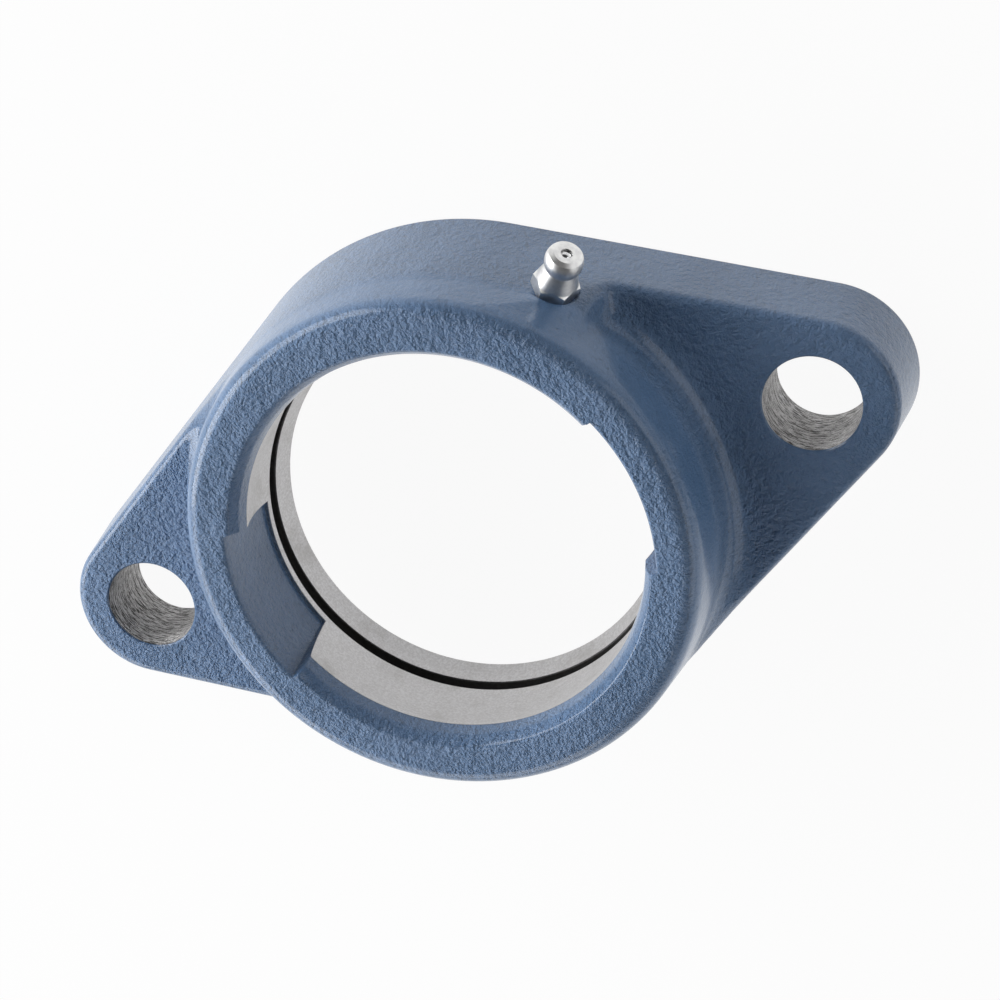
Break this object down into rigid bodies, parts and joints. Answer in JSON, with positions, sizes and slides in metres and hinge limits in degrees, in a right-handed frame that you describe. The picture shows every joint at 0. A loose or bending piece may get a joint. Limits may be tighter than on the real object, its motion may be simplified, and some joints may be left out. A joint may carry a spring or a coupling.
{
  "type": "two-bolt flanged bearing housing",
  "caption": "Cast oval flange housing with a round hub, a spherical bore seat for an insert bearing, two loading slots, bolt holes in line and a grease nipple.",
  "frame": {"origin": "centre of the bore on the mounting face, midway between the two bolt holes", "axes": "+Z along the bore axis from the mounting face to the mouth; +X through the bolt holes, to the one nearer the nipple; +Y towards the nipple's side"},
  "size_m": [0.1614, 0.0954, 0.0334],
  "materials": {
    "enamelled_iron": "glossy blue enamel over a sand-cast skin, bare where machined",
    "zinc_steel": "turned, zinc plated",
    "ball_steel": "polished",
    "spring_wire": "drawn wire"
  },
  "bodies": {
    "root": {"housing": "enamelled_iron", "nipple_body": "zinc_steel", "ball_spring": "spring_wire"},
    "ball": {"check_ball": "ball_steel"}
  },
  "joints": [
    {"name": "ball_slide", "type": "slide", "parent": "root", "child": "ball", "axis": [-0.646, -0.646, -0.4067], "range_m": [0, 0.001], "stiffness_N_per_m": 500, "springref_m": -0.001, "deforming": ["ball_spring"]}
  ]
}
